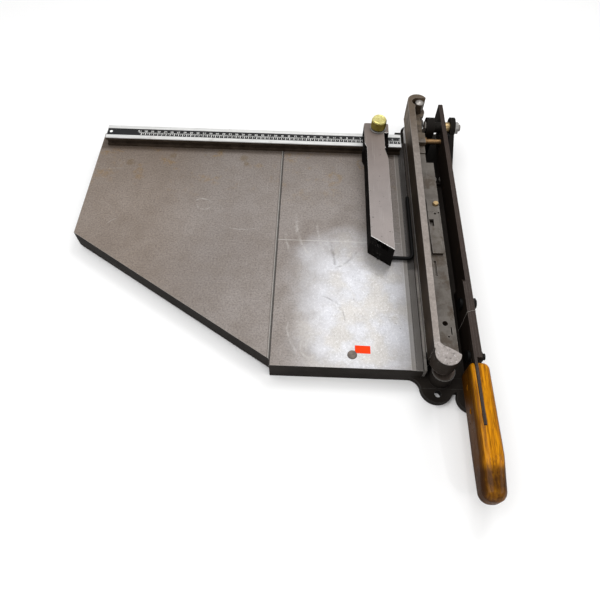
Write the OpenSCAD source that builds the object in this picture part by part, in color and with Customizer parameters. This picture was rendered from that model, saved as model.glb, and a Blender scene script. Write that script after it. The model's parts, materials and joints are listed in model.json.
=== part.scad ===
// Guillotine cutter for thin floor tile: a cast bed with a rule and a sliding
// stop, and a long lever that drives a blade carrier down past a fixed ledger.
// Design axes: X across the bed to the right, Y away from the user, Z up.
// Positions are measured from the bed's top face, where the seam between its
// two tables meets the front face of the rule. placed() moves them to the
// part's own origin, under the middle of the whole object.

/* [Bed] */
// Width of the right table, from the seam to the edge of the cutting side
bed_w = 187; // [180:1:187]
// Depth of the right table, in front of the rule
bed_d = 361; // [350:1:362]
// Height of the bed's top face above the bench
bed_h = 31; // [30:1:34]
// Thickness of the cast tables
plate_t = 8; // [6:1:9]
// Width of the left table
wing_w = 283; // [260:1:300]
// Depth of the left table at its outer side
wing_side_d = 172; // [150:1:200]
// Depth of the left table at the seam
wing_seam_d = 353; // [340:1:354]

/* [Rule and stop] */
// Depth of the rule bar
rule_d = 27; // [24:1:28]
// Height of the rule bar
rule_h = 16.6; // [15:0.2:17]
// Width of the stop bar
stop_w = 30; // [28:1:32]
// Height of the stop's top face above the bed
stop_top = 38; // [36:1:40]
// Diameter of the knurled knob
knob_d = 22; // [18:1:24]
// Height of the knurled knob
knob_h = 17; // [14:1:18]

/* [Blade carrier] */
// Height of the carrier's top face above the bed, blade down
carrier_top = 40; // [39:1:42]
// Diameter of the guide posts
post_d = 13; // [12:1:13]
// Outer radius of the carrier's two end bosses
boss_r = 15.1; // [15:0.1:15.2]
// Height that the ledger and blade strips have
blade_h = 17; // [15:1:18]

/* [Lever] */
// Thickness of each lever bar
bar_t = 3.2; // [3:0.1:3.2]
// Depth of the lever bars, top to bottom
bar_depth = 41; // [38:1:42]
// Diameter of the pivot bolt
pivot_d = 10; // [8:1:10]
// Diameter of the drive pin
pin_d = 8; // [7:0.5:8]
// Width of the wooden handle at its widest
handle_w = 27; // [26:1:28]
// Y position of the handle's far end
handle_end = -512; // [-514:1:-508]

/* [Hidden] */
$fn = 64;

gap = 0.3;             // between parts that move past each other
fit = 0.05;            // radial clearance of a shaft in its hole
seat = 0.05;           // between flat faces that are bolted together
ledger_x0 = bed_w;                       // the ledger's left face
ledger_x1 = ledger_x0 + 3.2;             // its cutting face
blade_x0 = ledger_x1 + gap;              // the moving blade's cutting face
blade_x1 = blade_x0 + 4;
web_x0 = blade_x0 + 0.4;                 // the carrier's left face
web_x1 = web_x0 + 8;
blade_low = -13;                         // the moving blade's edge, closed
flange_x1 = 224;
flange_z = [14, 21];
boss_x = web_x0 + boss_r;                // the carrier's round ends
front_y = -355.5;
rear_y = 79;
post_x = boss_x + 4;                     // both guide posts
post_y = [-359.5, rear_y];
base_boss_top = -1;
boss_low = 12;
floor_t = 7;
floor_z = -bed_h + floor_t;
rail_x1 = 262;

pivot_y = 32;
pivot_z = 29;
pin_y = 9;
pin_z = 21;
bar_top = 37;
bar_x = [235.7, 238.9 + seat, 242.1 + 2 * seat];   // tang plate, inner bar, outer bar
ear_left_x = [216.5, 228];
ear_right_x = [252, 259];
bolt_y = [-278, -350];
bolt_z = 21;
rivet_y = [-388, -416];
grip_z = 18;
slot_end_y = -437;

knob_x = 141.5;
knob_y = 14;
stop_x0 = 124;
stop_front = [-190, -211];
head_x = [121, 157.5];
head_round = 3;
head_front = -14;
head_back = 25.8;
rod_r = 2.5;
rod_z = 3.6;
rod_x = 184.5;
rod_y = -199;
rod_end_y = -90;
rod_bend = 7;

x_right = ear_right_x[1] + 10;           // end of the pivot bolt
y_rear = rear_y + boss_r;                // round rear end of the carrier
origin = [(x_right - wing_w) / 2, (y_rear + handle_end) / 2, -bed_h];

cast = [0.55, 0.51, 0.49];
dark = [0.2, 0.17, 0.15];
steel = [0.62, 0.62, 0.63];

module placed() { translate(-origin) children(); }

// A rod along X from x0 to x1, at y and z
module rod_x(x0, x1, y, z, r) {
    translate([x0, y, z]) rotate([0, 90, 0]) cylinder(r = r, h = x1 - x0);
}

// A hexagon head or nut along X, af across its flats
module hex_x(x0, x1, y, z, af) {
    translate([x0, y, z]) rotate([0, 90, 0]) cylinder(d = af / cos(30), h = x1 - x0, $fn = 6);
}

// A flat part in the YZ plane, drawn as (y, z) points, from x0 to x1
module plate_x(x0, x1) {
    translate([x0, 0, 0]) rotate([90, 0, 90]) linear_extrude(x1 - x0) children();
}

module slab(p0, p1) { translate(p0) cube(p1 - p0); }

// ---- Bed ----

margin_x = 171.5;      // where the finished surface ends
// Section across the right table, with the stepped unfinished margin
module table_section() {
    polygon([[0, -bed_h], [0, -1.2], [1.2, 0], [margin_x, 0], [margin_x + 1.5, -0.8],
        [bed_w - 9, -0.8], [bed_w - 8.4, -1.4], [bed_w - 1, -1.4], [bed_w, -2.4],
        [bed_w, -bed_h]]);
}

wall = 8;
rib_y = [-236, -118];
module bed_casting() {
    color(cast) difference() {
        union() {
            translate([0, rule_d, 0]) rotate([90, 0, 0]) linear_extrude(bed_d + rule_d)
                table_section();
            frame_floor();
            for (y = post_y)
                translate([post_x, y, -bed_h])
                    cylinder(r1 = 14.8, r2 = 14, h = bed_h + base_boss_top);
        }
        // open underside, in three bays
        for (b = [[-bed_d + wall, rib_y[0] - 3], [rib_y[0] + 3, rib_y[1] - 3],
                [rib_y[1] + 3, rule_d - wall]])
            slab([wall, b[0], -bed_h - 1], [bed_w - 13, b[1], -plate_t]);
        // guide bores
        for (y = post_y)
            translate([post_x, y, -bed_h - 1]) cylinder(r = bush_r + fit, h = bed_h + 30);
        wing_holes();
        for (y = ledger_screw_y) rod_x(bed_w - 12, bed_w + 1, y, ledger_screw_z, 2 + fit);
        for (p = bracket_bolt_at)
            translate([p[0], p[1], -bed_h - 1]) cylinder(r = 3 + fit, h = floor_t + 2);
        for (x = rule_screw_right) rule_hole(x);
        translate([table_screw_at[0], table_screw_at[1], -plate_t - 1])
            cylinder(r = 4 + fit, h = plate_t + 2);
    }
}

// Outline of the two round feet in front of the table
module front_lobes() {
    translate([206, -372]) circle(r = 20.5);
    translate([247, -384]) circle(r = 18);
    translate([212, -378]) square([28, 18]);
    // concave corner between the table's front and the first foot
    difference() {
        translate([bed_w - 16, -376]) square([18, 376 - bed_d + 1]);
        translate([bed_w - 16, -376]) circle(r = 15);
    }
}

lobe_t = 9;
feet_y = [-374.5, 56.5];                 // where the drilled feet meet the frame
rear_foot = [254, 66.5, 13];             // position and radius
rear_foot_x = 241;
// Floor under the blade carrier and the lever
module frame_floor() {
    difference() {
        union() {
            slab([bed_w - 6, -364, -bed_h], [rail_x1, 78, floor_z]);
            slab([rail_x1 - 9, -364, -bed_h], [rail_x1, -62, floor_z + 7]);
            translate([0, 0, -bed_h]) linear_extrude(lobe_t) front_lobes();
            translate([205.5, 78, -bed_h]) cylinder(r = 15, h = lobe_t);
        }
        slab([0, -500, -bed_h - 1], [300, feet_y[0] + seat, 0]);
        slab([rear_foot_x - seat, feet_y[1] - seat, -bed_h - 1], [300, 200, 0]);
    }
}

bench_hole_at = [[206, -381], [rear_foot[0], rear_foot[1]]];
bench_hole_d = 8.5;
// The two drilled feet that carry the bench bolts
module bench_feet() {
    color(cast) difference() {
        translate([0, 0, -bed_h]) union() {
            intersection() {
                linear_extrude(lobe_t) front_lobes();
                slab([0, -500, -1], [300, feet_y[0], 50]);
            }
            intersection() {
                union() {
                    translate([rear_foot[0], rear_foot[1], 0])
                        cylinder(r = rear_foot[2], h = floor_t);
                    slab([rear_foot_x, feet_y[1], 0], [rail_x1, 78, floor_t]);
                }
                slab([0, feet_y[1], -1], [300, 200, 50]);
            }
        }
        for (p = bench_hole_at)
            translate([p[0], p[1], -bed_h - 1]) cylinder(d = bench_hole_d, h = lobe_t + 2);
    }
}

// ---- Left table ----

wing_h = 27.5;
wing_rear_wall = 19.5;      // takes the rule's screws
diagonal = (wing_seam_d - wing_side_d) / wing_w;       // slope of the front edge
module wing_outline(inset, rear_inset) {
    reach = inset * sqrt(1 + diagonal * diagonal);
    side = wing_side_d + diagonal * inset;
    seam = wing_seam_d - diagonal * inset;
    polygon([[-wing_w + inset, rule_d - rear_inset], [-inset - seat, rule_d - rear_inset],
        [-inset - seat, -seam + reach], [-wing_w + inset, -side + reach]]);
}

module wing_table() {
    color(cast) difference() {
        translate([0, 0, -wing_h]) linear_extrude(wing_h) wing_outline(0, 0);
        difference() {
            translate([0, 0, -wing_h - 1]) linear_extrude(wing_h + 1 - plate_t) wing_outline(wall, wing_rear_wall);
            slab([-144, -400, -wing_h - 1], [-138, rule_d, 0]);
        }
        // bright chamfer along the seam
        translate([-seat, 100, 0]) rotate([90, 45, 0])
            translate([-1.1, -1.1, 0]) cube([2.2, 2.2, 560]);
        wing_holes();
        for (x = rule_screw_left) {
            rule_hole(x);
            translate([x, 13.5, -wing_h - 1]) cylinder(r = 4.5 + fit, h = wing_h + 1 - plate_t);
        }
    }
}

wing_bolt_y = [-320, -190, -60];
wing_bolt_z = -19;
module wing_holes() {
    for (y = wing_bolt_y) rod_x(-wall - 1, wall + 1, y, wing_bolt_z, 3 + fit);
}

module wing_bolts() {
    color(steel) for (y = wing_bolt_y) {
        rod_x(-wall - 1, wall + 6, y, wing_bolt_z, 3);
        hex_x(-wall - 4.5 - seat, -wall - seat, y, wing_bolt_z, 10);
        hex_x(wall + seat, wall + 5, y, wing_bolt_z, 10);
    }
}

// ---- Rule ----

rule_x = [-273, 180];
rule_screw_left = [-230, -90];
rule_screw_right = [60, 160];
strip_y = [6.3, 20.4];
strip_t = 0.6;
module rule_hole(x) {
    translate([x, 13.5, -plate_t - 1]) cylinder(r = 2.5 + fit, h = plate_t + 11);
}

module rule_bar() {
    color([0.66, 0.66, 0.65]) difference() {
        slab([rule_x[0], 0, seat], [rule_x[1], rule_d - 0.1, rule_h]);
        slab([rule_x[0] - 1, strip_y[0], rule_h - strip_t], [rule_x[1] + 1, strip_y[1], rule_h + 1]);
        // groove that the stop's tongue runs in
        slab([rule_x[0] - 1, -1, 4], [rule_x[1] + 1, 4, 11]);
        for (x = concat(rule_screw_left, rule_screw_right)) rule_hole(x);
    }
}

module scale_strip() {
    color([0.06, 0.06, 0.06])
        slab([rule_x[0] + 1, strip_y[0] + seat, rule_h - strip_t + 0.02],
            [rule_x[1] - 1, strip_y[1] - seat, rule_h - 0.05]);
}

module rule_screws() {
    color(steel) for (x = concat(rule_screw_left, rule_screw_right)) {
        translate([x, 13.5, -plate_t - 0.5]) cylinder(r = 2.5, h = plate_t + 9.5);
        translate([x, 13.5, -plate_t - 3.5 - seat]) cylinder(r = 4.5, h = 3.5);
    }
}

table_screw_at = [100.5, -343.5];
module table_screw() {
    color([0.6, 0.55, 0.5]) translate([table_screw_at[0], table_screw_at[1], 0]) {
        translate([0, 0, -plate_t - 3]) cylinder(r = 4, h = plate_t + 3.1);
        difference() {
            translate([0, 0, seat]) cylinder(r1 = 6, r2 = 5, h = 0.9);
            translate([-7, -0.6, 0.5]) cube([14, 1.2, 1]);
        }
    }
}

// ---- Ledger ----

ledger_screw_y = [-335, -245, -155, -65, 5];
ledger_screw_z = -10;
module ledger_blade() {
    color([0.7, 0.7, 0.7]) difference() {
        slab([ledger_x0 + seat, -bed_d, -blade_h], [ledger_x1, rule_d, -0.1]);
        for (y = ledger_screw_y) {
            rod_x(bed_w - 1, ledger_x1 + 1, y, ledger_screw_z, 2 + fit);
            rod_x(ledger_x1 - 1.8, ledger_x1 + 1, y, ledger_screw_z, 4 + fit);
        }
    }
}

module ledger_screws() {
    color(steel) for (y = ledger_screw_y) {
        rod_x(bed_w - 11.5, ledger_x1 - 1, y, ledger_screw_z, 2);
        rod_x(ledger_x1 - 1.75, ledger_x1 - 0.2, y, ledger_screw_z, 4);
    }
}

// ---- Guide bushes ----

bush_r = 9.5;
module guide_bush(y) {
    color([0.72, 0.55, 0.3]) difference() {
        union() {
            translate([post_x, y, -bed_h + 1]) cylinder(r = bush_r, h = bed_h + base_boss_top);
            translate([post_x, y, base_boss_top + seat]) cylinder(r = 12.5, h = 1.4);
        }
        translate([post_x, y, -bed_h]) cylinder(r = post_d / 2 + fit, h = bed_h + 30);
    }
}
module guide_bush_front() { guide_bush(post_y[0]); }
module guide_bush_rear() { guide_bush(post_y[1]); }

// ---- Pivot bracket ----

bracket_t = 6;
bracket_z = floor_z + seat;
bracket_bolt_at = [[233, -32], [246, -32], [233, 52], [246, 52]];
module ear_outline(front) {
    translate([pivot_y, pivot_z]) circle(r = 14);
    polygon([[pivot_y + 14, pivot_z], [pivot_y + 16, bracket_z], [front, bracket_z],
        [front + 6, bracket_z + bracket_t], [pivot_y - 14, pivot_z]]);
}

module pivot_bracket() {
    color(dark) difference() {
        union() {
            plate_x(ear_left_x[0], ear_left_x[1]) ear_outline(pivot_y - 16);
            plate_x(ear_right_x[0], ear_right_x[1]) ear_outline(-58);
            rod_x(ear_right_x[0], ear_right_x[1], pivot_y, pivot_z, 15);
            slab([ear_left_x[0], -40, bracket_z], [ear_right_x[1], 46, bracket_z + bracket_t]);
            slab([ear_left_x[1], 46, bracket_z], [ear_right_x[0], 59, bracket_z + bracket_t]);
        }
        rod_x(200, 280, pivot_y, pivot_z, pivot_d / 2 + fit);
        for (p = bracket_bolt_at)
            translate([p[0], p[1], -bed_h]) cylinder(r = 3 + fit, h = 30);
    }
}

module bracket_bolts() {
    color(steel) for (p = bracket_bolt_at) translate([p[0], p[1], 0]) {
        translate([0, 0, -bed_h + 1]) cylinder(r = 3, h = floor_t + bracket_t);
        translate([0, 0, bracket_z + bracket_t + seat]) cylinder(r = 5, h = 2.2);
    }
}

pivot_head_t = 2.4;
module pivot_bolt() {
    color(steel) {
        rod_x(ear_left_x[0] - 1, x_right, pivot_y, pivot_z, pivot_d / 2);
        hex_x(ear_left_x[0] - seat - pivot_head_t, ear_left_x[0] - seat, pivot_y, pivot_z, 16);
    }
}

nut_t = 6.5;
module pivot_nut() {
    color([0.7, 0.7, 0.68]) difference() {
        hex_x(ear_right_x[1] + seat, ear_right_x[1] + seat + nut_t, pivot_y, pivot_z, 16);
        rod_x(250, 280, pivot_y, pivot_z, pivot_d / 2 + fit);
    }
}

lever_x1 = bar_x[2] + bar_t;
module spacer(x0, x1, tint) {
    color(tint) difference() {
        rod_x(x0, x1, pivot_y, pivot_z, 8);
        rod_x(x0 - 1, x1 + 1, pivot_y, pivot_z, pivot_d / 2 + fit);
    }
}
module pivot_spacer_left() { spacer(ear_left_x[1] + seat, bar_x[1] - gap, steel); }
module pivot_spacer_right() {
    spacer(lever_x1 + gap, ear_right_x[0] - seat, [0.76, 0.6, 0.32]);
}

pad_at = [[-wing_w + 22, -2], [-wing_w + 22, -150], [-20, -312]];
module foot_pads() {
    color([0.08, 0.08, 0.08]) for (p = pad_at)
        translate([p[0], p[1], -bed_h]) cylinder(r = 8, h = bed_h - plate_t - seat);
}

// ---- Stop ----

module stop_outline() {
    arm = [stop_x0, stop_x0 + stop_w];
    neck_y = head_front - 15;
    polygon([[arm[0], 0], [arm[0], stop_front[0]], [arm[1], stop_front[1]],
        [arm[1], neck_y - 18], [arm[1] - 4, neck_y], [arm[1] - 4, 0]]);
    offset(r = head_round) offset(delta = -head_round)
        polygon([[head_x[0], head_back], [head_x[0], head_front - 3], [arm[0] + 1, neck_y],
            [arm[1] - 5, neck_y], [head_x[1], head_front], [head_x[1], head_back]]);
}

foot_gap = 0.5;
pocket_z = 26;
module stop_bar() {
    color([0.42, 0.38, 0.36]) difference() {
        union() {
            translate([0, 0, foot_gap]) linear_extrude(stop_top - foot_gap) stop_outline();
            translate([knob_x, knob_y, stop_top]) cylinder(r = 7.5, h = 1.2);
        }
        // room for the rule
        slab([100, -gap, -1], [200, 40, rule_h + gap]);
        // hollow from below, closed in front
        slab([stop_x0 + 4, -180, -1], [stop_x0 + stop_w - 4, -8, stop_top - 5]);
        // pocket in the slanted front end
        translate([stop_x0, stop_front[0], pocket_z])
            rotate([0, 0, atan2(stop_front[1] - stop_front[0], stop_w)])
                translate([10, -6, 0]) cube([18, 12, 10]);
        // notch at the right of the head
        slab([head_x[1] - 7, head_front - 10, stop_top - 7], [head_x[1] + 1, 5.5, stop_top + 1]);
        translate([knob_x, knob_y, 0]) cylinder(r = 4 + fit, h = 60);
        translate([knob_x, knob_y, 0]) cylinder(r = 6 + fit, h = rule_h + 4);
        // seat of the finger rod
        rod_x(stop_x0 + 12, 170, rod_y, rod_z, rod_r + fit);
        translate([stop_x0 + 18, rod_y, rod_z]) cylinder(r = 2 + fit, h = pocket_z);
    }
    color([0.42, 0.38, 0.36])
        slab([stop_x0, -gap - 1, 5], [stop_x0 + stop_w, 3.6, 10]);
}

module clamp_pad() {
    color([0.76, 0.6, 0.32]) translate([knob_x, knob_y, rule_h + gap + 0.1])
        cylinder(r = 6, h = 2.6);
}

module finger_rod() {
    color([0.05, 0.05, 0.05]) {
        rod_x(stop_x0 + 12, rod_x - rod_bend, rod_y, rod_z, rod_r);
        translate([rod_x - rod_bend, rod_y + rod_bend, rod_z]) rotate([0, 0, -90])
            rotate_extrude(angle = 90) translate([rod_bend, 0]) circle(r = rod_r, $fn = 24);
        translate([rod_x, rod_y + rod_bend, rod_z]) rotate([-90, 0, 0])
            cylinder(r = rod_r, h = rod_end_y - rod_y - rod_bend, $fn = 24);
    }
}

module finger_screw() {
    color(steel) translate([stop_x0 + 18, rod_y, rod_z + rod_r + 0.1]) cylinder(r = 2, h = 12);
}

knob_low = stop_top + 1.5;
module clamp_knob() {
    color([0.86, 0.74, 0.3]) translate([knob_x, knob_y, knob_low]) difference() {
        union() {
            cylinder(r = 8, h = 3);
            translate([0, 0, 2]) cylinder(d = knob_d, h = knob_h - 3.5);
            translate([0, 0, knob_h - 1.5]) cylinder(d1 = knob_d, d2 = knob_d - 3, h = 1.5);
        }
        translate([0, 0, -1]) cylinder(r = 4 + fit, h = 12);
    }
}

module clamp_stud() {
    color(steel) translate([knob_x, knob_y, rule_h + gap + 2.9])
        cylinder(r = 4, h = knob_low + 10 - rule_h - gap - 2.9);
}

// ---- Blade carrier ----

// Rear edge of the front pad
pad_back = [[web_x1 - 1, -342.5], [201.6, -346], [208.2, -349], [216.8, -353.7], [222.5, -358.5]];
recess_z = 19;         // floor of the recess round the rear post
module blade_carrier() {
    color([0.42, 0.37, 0.33]) difference() {
        union() {
            // upright web, a little wider at its rear end
            translate([0, 0, -10]) linear_extrude(carrier_top + 10)
                polygon([[web_x0, front_y + 6], [web_x1 - 1, front_y + 6], [web_x1 + 2, rear_y],
                    [web_x0, rear_y]]);
            // level flange that stiffens the web
            slab([web_x1 - 3, front_y, flange_z[0]], [flange_x1, -36, flange_z[1]]);
            slab([web_x1 - 3, -36, flange_z[0]], [213.4, rear_y, flange_z[1]]);
            // fillet rib under the flange
            slab([web_x1 - 2, front_y + 20, 9], [web_x1 + 6, -40, flange_z[0]]);
            for (y = [front_y, rear_y]) translate([boss_x, y, boss_low])
                cylinder(r = boss_r, h = carrier_top - boss_low);
            // boss that holds the drive pin
            slab([web_x1 - 2, -4, 8], [213.5, 16.5, 31]);
            slab([web_x1 - 2, -18, 8], [213.5, -4, 23]);
        }
        // the front pad is a hook: behind it the boss stays at the flange
        translate([0, 0, flange_z[1]]) linear_extrude(40)
            polygon(concat(pad_back, [[240, -358.5], [240, -320], [web_x1 - 1, -320]]));
        // recess round the rear post, open to the right
        translate([boss_x, rear_y - 2, recess_z]) cylinder(r = 8.6, h = 40);
        slab([boss_x, rear_y - 10, recess_z], [240, rear_y + 6.6, 60]);
        slab([boss_x - 4.2, 55, recess_z], [240, rear_y - 1, 60]);
        // seat of the moving blade
        slab([web_x0 - 1, -400, -20], [blade_x1 + seat, 120, 4 + seat]);
        // room for the base's guide bosses
        for (y = post_y)
            translate([post_x, y, -20]) cylinder(r = 15.5, h = 20 + base_boss_top + 2.4);
        translate([post_x, post_y[0], 0]) cylinder(r = post_d / 2 + fit, h = 36);
        translate([post_x, post_y[1], 0]) cylinder(r = post_d / 2 + fit, h = 60);
        rod_x(web_x1 + 2, 250, pin_y, pin_z, pin_d / 2 + fit);
        for (y = blade_screw_y) rod_x(170, 240, y, blade_screw_z, 2 + fit);
        // holes, pocket and slot in the flange
        translate([212, -307, 0]) cylinder(r = 3.4, h = 60);
        translate([214.7, -325, 0]) cylinder(r = 1.2, h = 60);
        slab([218, -322, 0], [219.6, -312, 60]);
        slab([207, -238, 18.5], [210, -214, 30]);
        slab([206, -158, 17], [213, -146, 30]);
        translate([hold_screw_at[0], hold_screw_at[1], 0]) cylinder(r = 2.5 + fit, h = 40);
    }
}

blade_y = [-338, 60];
blade_screw_y = [-300, -215, -130, -45];
blade_screw_z = -2;
module upper_blade() {
    color([0.6, 0.6, 0.6]) difference() {
        plate_x(blade_x0, blade_x1)
            polygon([[blade_y[0], 4], [blade_y[1], 4], [blade_y[1], blade_low + 6],
                [blade_y[0], blade_low]]);
        for (y = blade_screw_y) rod_x(blade_x0 - 1, blade_x1 + 1, y, blade_screw_z, 2 + fit);
    }
}

module blade_screws() {
    color(steel) for (y = blade_screw_y) {
        rod_x(blade_x0 + 0.3, web_x1 + 1, y, blade_screw_z, 2);
        rod_x(web_x1 + 2, web_x1 + 4, y, blade_screw_z, 3.6);
        rod_x(web_x1 + 1, web_x1 + 2, y, blade_screw_z, 2);
    }
}

module guide_post_front() {
    color(steel) translate([post_x, post_y[0], -bed_h + 2])
        cylinder(d = post_d, h = bed_h + 33.5);
}

module guide_post_rear() {
    color(steel) translate([post_x, post_y[1], 0]) {
        translate([0, 0, -bed_h + 2]) cylinder(d = post_d, h = bed_h + 30);
        translate([0, 0, 32]) rotate_extrude()
            intersection() {
                square([post_d / 2, 7]);
                translate([0, -2.2]) circle(r = 9.2);
            }
    }
}

module drive_pin() {
    color([0.72, 0.55, 0.3]) rod_x(web_x1 + 3, lever_x1 + 2, pin_y, pin_z, pin_d / 2);
}

module pin_collar() {
    color([0.76, 0.6, 0.32]) difference() {
        rod_x(213.6, 216.4, pin_y, pin_z, 6.5);
        rod_x(200, 230, pin_y, pin_z, pin_d / 2 + fit);
    }
}

hold_screw_at = [218, -119];
module hold_down_bracket() {
    color([0.5, 0.46, 0.42]) difference() {
        union() {
            plate_x(206, 220) translate([0, flange_z[1] + seat])
                polygon([[-205, 0], [-205, 5], [-176, 2.5], [-126, 2.5], [-126, 0]]);
            slab([206, -133, flange_z[1] + seat], [222, -110, flange_z[1] + 3]);
        }
        slab([207, -158, 0], [213, -146, 60]);
        translate([216, -136, 0]) cylinder(r = 1.8, h = 60);
        translate([hold_screw_at[0], hold_screw_at[1], 0]) cylinder(r = 2.5 + fit, h = 60);
    }
}

module hold_down_screw() {
    color([0.76, 0.6, 0.32]) translate([hold_screw_at[0], hold_screw_at[1], 0]) {
        translate([0, 0, 12]) cylinder(r = 2.5, h = flange_z[1] - 8);
        translate([0, 0, flange_z[1] + 3.05]) cylinder(r1 = 4.5, r2 = 3.4, h = 3);
    }
}

// ---- Lever ----

bar_low = bar_top - bar_depth;
bar_end_y = -358;
tail_y = 75;
module bar_outline() {
    polygon([[tail_y, bar_top], [tail_y, 10], [48, 9], [12, bar_low], [bar_end_y, bar_low],
        [bar_end_y, bar_top]]);
}

pin_reach = [22.6, 25.8];      // the pin's distance from the pivot over the stroke
slot_r = pin_d / 2 + 0.45;
pin_angle = atan2(pivot_z - pin_z, pivot_y - pin_y);
// Slot along the line from the pivot to the drive pin
module pin_slot() {
    translate([200, pivot_y, pivot_z]) rotate([pin_angle, 0, 0]) {
        for (r = pin_reach) translate([0, -r, 0]) rotate([0, 90, 0]) cylinder(r = slot_r, h = 60);
        translate([0, -pin_reach[1], -slot_r]) cube([60, pin_reach[1] - pin_reach[0], 2 * slot_r]);
    }
}

module lever_bar(i) {
    color([0.2, 0.16, 0.14]) difference() {
        plate_x(bar_x[i], bar_x[i] + bar_t) bar_outline();
        rod_x(200, 260, pivot_y, pivot_z, pivot_d / 2 + fit);
        pin_slot();
        for (y = bolt_y) rod_x(200, 260, y, bolt_z, 4 + fit);
        rod_x(200, 260, small_rivet[0], small_rivet[1], 2.5 + fit);
    }
}
module lever_inner_bar() { lever_bar(1); }
module lever_outer_bar() { lever_bar(2); }

small_rivet = [-263, 26];
tang_start = -250;
tang_end = -436.5;
module tang_plate() {
    color([0.22, 0.19, 0.17]) difference() {
        plate_x(bar_x[0], bar_x[0] + bar_t)
            polygon([[tang_start, bar_top - 4], [tang_start - 5, bar_top], [tang_end, bar_top],
                [tang_end, 0], [-372, bar_low], [tang_start, bar_low]]);
        for (y = bolt_y) rod_x(200, 260, y, bolt_z, 4 + fit);
        for (y = rivet_y) rod_x(200, 260, y, grip_z, 3 + fit);
    }
}

module lever_bolts() {
    color(dark) for (y = bolt_y) {
        rod_x(bar_x[0] - 1, lever_x1 + 8, y, bolt_z, 4);
        rod_x(bar_x[0] - 3.6, bar_x[0] - seat, y, bolt_z, 7);
    }
}

lever_nut_t = [7, 4.5];
module lever_nuts() {
    color(dark) for (i = [0, 1]) difference() {
        hex_x(lever_x1 + seat, lever_x1 + seat + lever_nut_t[i], bolt_y[i], bolt_z, 13);
        rod_x(200, 270, bolt_y[i], bolt_z, 4 + fit);
    }
}

module lever_rivet() {
    color(steel) {
        rod_x(bar_x[1] + 0.5, lever_x1 + 1, small_rivet[0], small_rivet[1], 2.5);
        rod_x(lever_x1 + seat, lever_x1 + 2.5, small_rivet[0], small_rivet[1], 4.5);
    }
}

grip_x = 242;
grip_start = -361.5;
grip_r = handle_w / 2;
// Wooden grip: a rounded bar whose end curves down
module handle_grip() {
    color([0.66, 0.38, 0.12]) difference() {
        hull() {
            for (s = [-1, 1], z = [3, 27]) translate([grip_x + s * (grip_r - 9.3), grip_start - 8, z])
                sphere(r = 8, $fn = 32);
            for (s = [-1, 1], z = [5, 26]) translate([grip_x + s * (grip_r - 10.2), -466, z])
                sphere(r = 10, $fn = 32);
            for (s = [-1, 1], z = [7, 17])
                translate([grip_x + s * (grip_r - 12), handle_end + 12, z]) sphere(r = 12, $fn = 32);
        }
        slab([bar_x[0] - seat, slot_end_y, -40], [bar_x[0] + bar_t + seat, -300, 80]);
        for (y = rivet_y) rod_x(200, 280, y, grip_z, 3 + fit);
    }
}

module handle_rivets() {
    color([0.76, 0.6, 0.32]) for (y = rivet_y) rod_x(grip_x - 11.6, grip_x + 11.6, y, grip_z, 3);
}

placed() bed_casting();
placed() bench_feet();
placed() wing_table();
placed() wing_bolts();
placed() rule_bar();
placed() scale_strip();
placed() rule_screws();
placed() table_screw();
placed() ledger_blade();
placed() ledger_screws();
placed() guide_bush_front();
placed() guide_bush_rear();
placed() pivot_bracket();
placed() bracket_bolts();
placed() pivot_bolt();
placed() pivot_nut();
placed() pivot_spacer_left();
placed() pivot_spacer_right();
placed() foot_pads();
placed() stop_bar();
placed() clamp_pad();
placed() finger_rod();
placed() finger_screw();
placed() clamp_knob();
placed() clamp_stud();
placed() blade_carrier();
placed() upper_blade();
placed() blade_screws();
placed() guide_post_front();
placed() guide_post_rear();
placed() drive_pin();
placed() pin_collar();
placed() hold_down_bracket();
placed() hold_down_screw();
placed() lever_inner_bar();
placed() lever_outer_bar();
placed() tang_plate();
placed() lever_bolts();
placed() lever_nuts();
placed() lever_rivet();
placed() handle_grip();
placed() handle_rivets();
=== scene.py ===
import json
import math

import bmesh
import bpy
from mathutils import Matrix, Vector


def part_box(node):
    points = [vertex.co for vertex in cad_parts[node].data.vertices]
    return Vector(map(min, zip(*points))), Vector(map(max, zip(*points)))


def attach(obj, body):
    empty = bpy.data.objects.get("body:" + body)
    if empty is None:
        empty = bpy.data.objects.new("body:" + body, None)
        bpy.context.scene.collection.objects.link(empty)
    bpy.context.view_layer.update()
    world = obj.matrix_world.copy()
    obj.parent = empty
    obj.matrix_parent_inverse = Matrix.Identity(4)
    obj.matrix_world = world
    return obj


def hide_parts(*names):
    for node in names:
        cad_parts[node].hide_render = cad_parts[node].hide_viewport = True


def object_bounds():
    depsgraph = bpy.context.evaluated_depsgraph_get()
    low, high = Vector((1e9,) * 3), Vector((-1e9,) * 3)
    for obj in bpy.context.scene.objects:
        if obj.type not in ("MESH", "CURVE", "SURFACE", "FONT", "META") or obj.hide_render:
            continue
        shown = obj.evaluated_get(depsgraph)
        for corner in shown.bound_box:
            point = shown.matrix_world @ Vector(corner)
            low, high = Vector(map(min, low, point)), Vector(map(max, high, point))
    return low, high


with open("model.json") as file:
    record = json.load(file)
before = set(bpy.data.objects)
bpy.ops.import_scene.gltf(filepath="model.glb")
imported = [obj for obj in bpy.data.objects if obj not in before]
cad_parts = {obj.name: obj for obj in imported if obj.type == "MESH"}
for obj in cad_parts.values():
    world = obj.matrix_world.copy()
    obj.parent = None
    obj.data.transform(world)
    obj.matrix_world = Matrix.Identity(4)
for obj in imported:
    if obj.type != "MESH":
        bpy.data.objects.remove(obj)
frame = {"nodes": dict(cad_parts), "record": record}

MM = 0.001
cad_low, cad_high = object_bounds()
centre = (cad_low + cad_high) / 2


def corners(node):
    """Lowest and highest corner of a CAD node."""
    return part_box(node)


# ---- Places taken from the frame ----

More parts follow.
